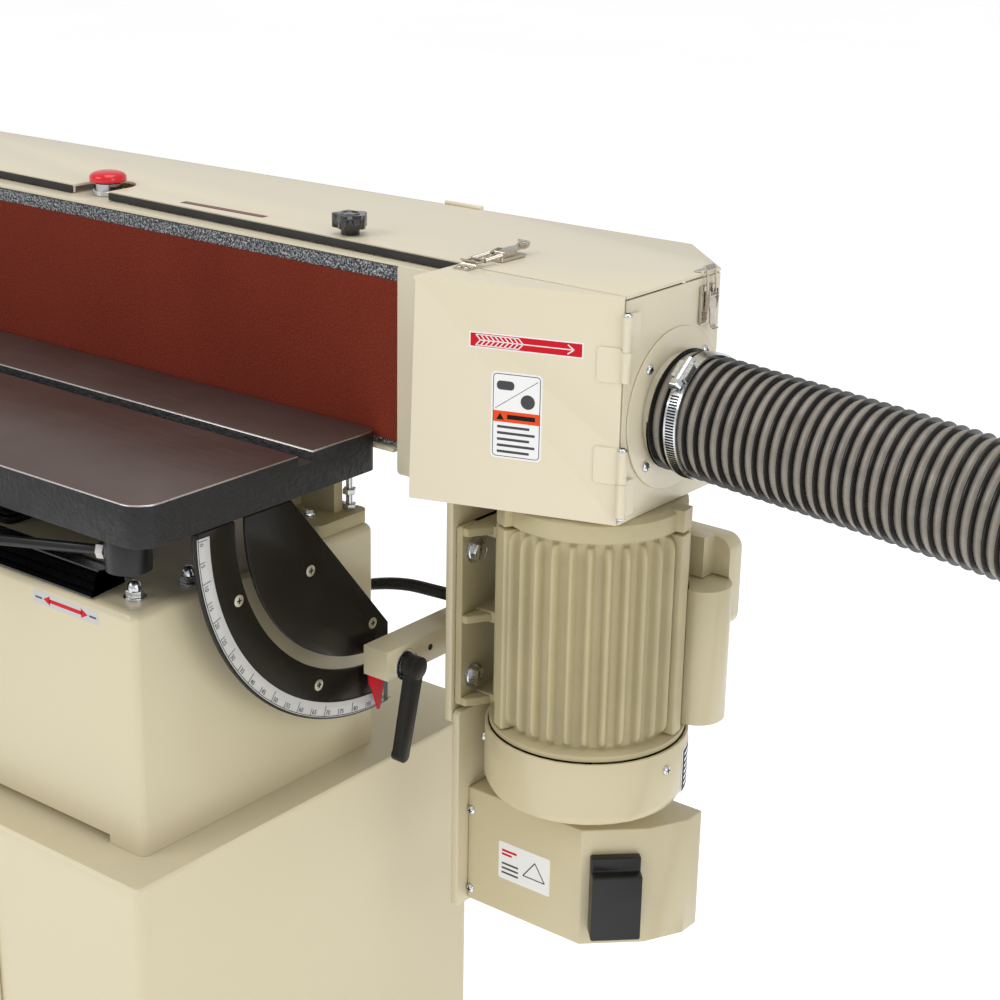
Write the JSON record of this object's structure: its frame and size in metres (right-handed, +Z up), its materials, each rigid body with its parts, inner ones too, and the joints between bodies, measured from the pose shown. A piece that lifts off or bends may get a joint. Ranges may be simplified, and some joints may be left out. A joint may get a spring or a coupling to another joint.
{
  "type": "edge sander",
  "caption": "Floor-standing edge sander: a long abrasive belt on a tilting head, a rise-and-fall cast table, a motor below and a dust hose.",
  "frame": {"origin": "middle of the machine's own box without its hose and conduit, on the floor", "axes": "+X along the belt towards the drive drum, +Y from the table to the back, +Z up"},
  "size_m": [2.2007, 0.6666, 1.15],
  "materials": {
    "cream": "semi-gloss hammered enamel",
    "motor_cream": "semi-gloss enamel on a casting",
    "black_plastic": "matt, slightly grained",
    "black_steel": "black oxide, satin",
    "bare_steel": "zinc plated or turned",
    "cast_iron": "ground top, oiled",
    "abrasive": "coarse brown aluminium oxide grit on cloth",
    "graphite": "graphite-coated canvas",
    "aluminium": "turned",
    "red": "gloss",
    "scale_white": "printed scale",
    "rubber": "matt",
    "hose": "ribbed flexible hose"
  },
  "bodies": {
    "stand": {"stand_cabinet": "cream", "foot_front_left": "rubber", "foot_rear_left": "rubber", "foot_front_right": "rubber", "foot_rear_right": "rubber", "base_block": "cream", "trunnion_bracket_right": "motor_cream", "trunnion_bracket_left": "motor_cream", "tilt_quadrant": "black_steel", "angle_scale": "scale_white", "lift_bellows": "rubber", "dust_hose": "hose", "wiring_conduit": "rubber"},
    "cabinet_door": {"stand_door": "cream", "stand_door_knob": "black_plastic"},
    "table": {"table_top": "cast_iron", "table_saddle": "cast_iron", "lift_post": "bare_steel"},
    "table_lock": {"table_lock_lever": "black_plastic"},
    "handwheel": {"lift_handwheel": "black_plastic"},
    "handle": {"handwheel_handle": "black_plastic"},
    "head": {"head_frame": "cream", "side_panel": "cream", "dust_port": "cream", "belt_post": "cream", "idler_guard": "cream", "sanding_belt": "abrasive", "graphite_pad": "graphite", "e_stop_collar": "bare_steel", "lid_hinge_left": "cream", "lid_hinge_right": "cream", "door_hinge_upper": "cream", "door_hinge_lower": "cream", "motor_mount_plate": "cream", "switch_plate": "cream", "motor_body": "motor_cream", "motor_end_bell": "motor_cream", "fan_cover": "motor_cream", "fan_cover_grille": "black_plastic", "capacitor_cover": "motor_cream", "junction_box": "motor_cream", "switch_box": "cream", "tilt_bar": "cream", "tilt_pointer": "red"},
    "drive": {"drive_drum": "aluminium", "motor_fan": "black_plastic"},
    "tension_slide": {"idler_bracket": "cast_iron"},
    "idler": {"idler_drum": "aluminium"},
    "tension": {"tension_lever": "black_plastic"},
    "tracking": {"tracking_knob": "black_plastic"},
    "lid_assembly": {"lid": "cream", "lid_seal_left": "rubber", "lid_seal_right": "rubber"},
    "star_knob": {"lid_knob": "black_plastic"},
    "latch_top": {"top_latch": "bare_steel"},
    "latch_side": {"side_latch": "bare_steel"},
    "drive_guard": {"guard_door": "cream"},
    "e_stop": {"e_stop_button": "red"},
    "paddle": {"switch_paddle": "black_plastic"},
    "tilt_clamp": {"clamp_lever": "black_plastic"}
  },
  "joints": [
    {"name": "cabinet_door_swing", "type": "hinge", "parent": "stand", "child": "cabinet_door", "pos_m": [-0.242, -0.2233, 0.3], "axis": [0, 0, -1], "range_deg": [0, 110]},
    {"name": "table_lift", "type": "slide", "parent": "stand", "child": "table", "axis": [0, 0, 1], "range_m": [0, 0.095], "deforming": ["lift_bellows"]},
    {"name": "table_lock_turn", "type": "hinge", "parent": "table", "child": "table_lock", "pos_m": [0.315, -0.169, 0.89], "axis": [0, 0, 1], "range_deg": [-25, 60]},
    {"name": "handwheel_turn", "type": "hinge", "parent": "stand", "child": "handwheel", "pos_m": [-0.042, -0.231, 0.72], "axis": [0, 1, 0], "range_deg": [0, 1711]},
    {"name": "handle_spin", "type": "hinge", "parent": "handwheel", "child": "handle", "pos_m": [-0.042, -0.271, 0.651], "axis": [0, 1, 0], "continuous": true},
    {"name": "head_tilt", "type": "hinge", "parent": "stand", "child": "head", "pos_m": [0.008, 0.087, 0.91], "axis": [-1, 0, 0], "range_deg": [0, 90], "deforming": ["wiring_conduit", "dust_hose"]},
    {"name": "tilt_clamp_turn", "type": "hinge", "parent": "head", "child": "tilt_clamp", "pos_m": [0.428, 0.083, 0.728], "axis": [1, 0, 0], "range_deg": [-45, 60]},
    {"name": "drive_spin", "type": "hinge", "parent": "head", "child": "drive", "pos_m": [0.588, 0.1495, 1.03], "axis": [0, 0, 1], "continuous": true},
    {"name": "idler_tension", "type": "slide", "parent": "head", "child": "tension_slide", "axis": [1, 0, 0], "range_m": [0, 0.012]},
    {"name": "tension_lever_turn", "type": "hinge", "parent": "head", "child": "tension", "pos_m": [-0.462, 0.169, 0.915], "axis": [0, 0, -1], "range_deg": [0, 91]},
    {"name": "idler_spin", "type": "hinge", "parent": "tension_slide", "child": "idler", "pos_m": [-0.58494, 0.1455, 1.03], "axis": [0, 0, 1], "continuous": true},
    {"name": "tracking_turn", "type": "hinge", "parent": "head", "child": "tracking", "pos_m": [-0.672, 0.169, 1.025], "axis": [1, 0, 0], "continuous": true},
    {"name": "lid_swing", "type": "hinge", "parent": "head", "child": "lid_assembly", "pos_m": [-0.0895, 0.28502, 1.1304], "axis": [-0.9996, -0.027, 0], "range_deg": [0, 100]},
    {"name": "lid_knob_turn", "type": "hinge", "parent": "lid_assembly", "child": "star_knob", "pos_m": [0.322, 0.115, 1.14], "axis": [0, 0, 1], "continuous": true},
    {"name": "top_latch_swing", "type": "hinge", "parent": "lid_assembly", "child": "latch_top", "pos_m": [0.493, 0.158, 1.1344], "axis": [-1, 0, 0], "range_deg": [0, 100]},
    {"name": "side_latch_swing", "type": "hinge", "parent": "head", "child": "latch_side", "pos_m": [0.6635, 0.2095, 1.083], "axis": [0, 1, 0], "range_deg": [0, 95]},
    {"name": "guard_swing", "type": "hinge", "parent": "head", "child": "drive_guard", "pos_m": [0.662, 0.0825, 1.03], "axis": [0, 0, 1], "range_deg": [0, 110]},
    {"name": "e_stop_press", "type": "slide", "parent": "head", "child": "e_stop", "axis": [0, 0, -1], "range_m": [0, 0.004], "stiffness_N_per_m": 800, "springref_m": -0.002},
    {"name": "paddle_lift", "type": "hinge", "parent": "head", "child": "paddle", "pos_m": [0.6444, 0.1236, 0.583], "axis": [-0.7226, -0.6912, 0], "range_deg": [0, 60]}
  ],
  "couplings": [
    {"joint": "idler_spin", "follows": "drive_spin", "ratio": 1.0667},
    {"joint": "handwheel_turn", "follows": "table_lift", "rad_per_m": 314.16},
    {"joint": "tension_lever_turn", "follows": "idler_tension", "rad_per_m": 130.9}
  ]
}
